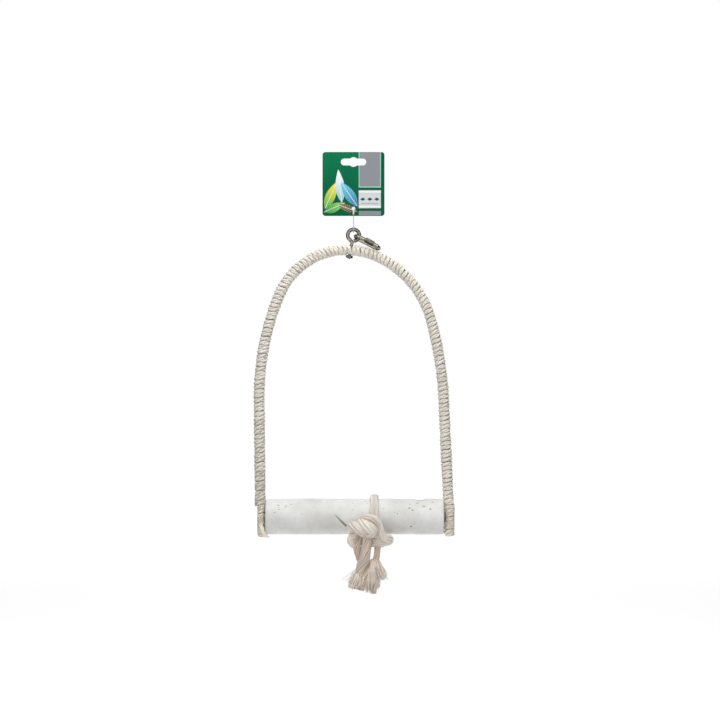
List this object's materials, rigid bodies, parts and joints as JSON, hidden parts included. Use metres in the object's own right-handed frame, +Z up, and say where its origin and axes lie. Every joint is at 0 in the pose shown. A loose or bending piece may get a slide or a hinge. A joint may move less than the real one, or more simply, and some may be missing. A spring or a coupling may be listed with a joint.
{
  "type": "bird swing",
  "caption": "Hanging bird swing: textured cement perch in a cord wound steel arch with eye bolt, quick link, tied cotton rope and hang card.",
  "frame": {"origin": "middle of the header card's hang slot", "axes": "+X along the perch to the right, +Y from front to back, +Z up; the swing hangs down from the slot"},
  "size_m": [0.2012, 0.0614, 0.4407],
  "materials": {
    "card_board": "satin print",
    "clear_strand": "translucent",
    "bright_steel": "nickel plated",
    "rod_steel": "zinc plated",
    "winding_cord": "twisted cotton cord",
    "cement": "cast and pitted",
    "dowel_wood": "plain dowel",
    "rope_cotton": "soft cotton strand"
  },
  "bodies": {
    "card": {"header_card": "card_board"},
    "loop": {"tag_loop": "clear_strand", "tag_lock": "clear_strand"},
    "swing": {"eye_bolt": "bright_steel", "eye_nut": "bright_steel", "arch_rod": "rod_steel", "arch_winding_left": "winding_cord", "arch_winding_right": "winding_cord", "foot_binding_left": "winding_cord", "foot_binding_right": "winding_cord", "perch_shell": "cement", "perch_core": "dowel_wood", "perch_washer_left": "rod_steel", "perch_washer_right": "rod_steel", "perch_screw_left": "rod_steel", "perch_screw_right": "rod_steel"},
    "link": {"link_body": "bright_steel"},
    "sleeve": {"link_sleeve": "bright_steel"},
    "rope": {"rope_loop": "rope_cotton", "rope_knot": "rope_cotton", "rope_tail_front": "rope_cotton", "rope_tail_back": "rope_cotton", "rope_tail_right": "rope_cotton", "tassel_left": "rope_cotton", "tassel_right": "rope_cotton"}
  },
  "joints": [
    {"name": "loop_sway", "type": "hinge", "parent": "card", "child": "loop", "pos_m": [0, 0, -0.0465], "axis": [0, 1, 0], "range_deg": [-35, 35]},
    {"name": "swing_turn", "type": "hinge", "parent": "loop", "child": "swing", "pos_m": [0, 0, -0.0674], "axis": [1, 0, 0], "range_deg": [-60, 60]},
    {"name": "link_lift", "type": "hinge", "parent": "swing", "child": "link", "pos_m": [0, 0, -0.0732], "axis": [0, -1, 0], "range_deg": [0, 52.5]},
    {"name": "sleeve_slide", "type": "slide", "parent": "link", "child": "sleeve", "axis": [-0.8884, 0, 0.4591], "range_m": [0, 0.005]},
    {"name": "rope_slide", "type": "slide", "parent": "swing", "child": "rope", "axis": [1, 0, 0], "range_m": [-0.076, 0.043]}
  ]
}
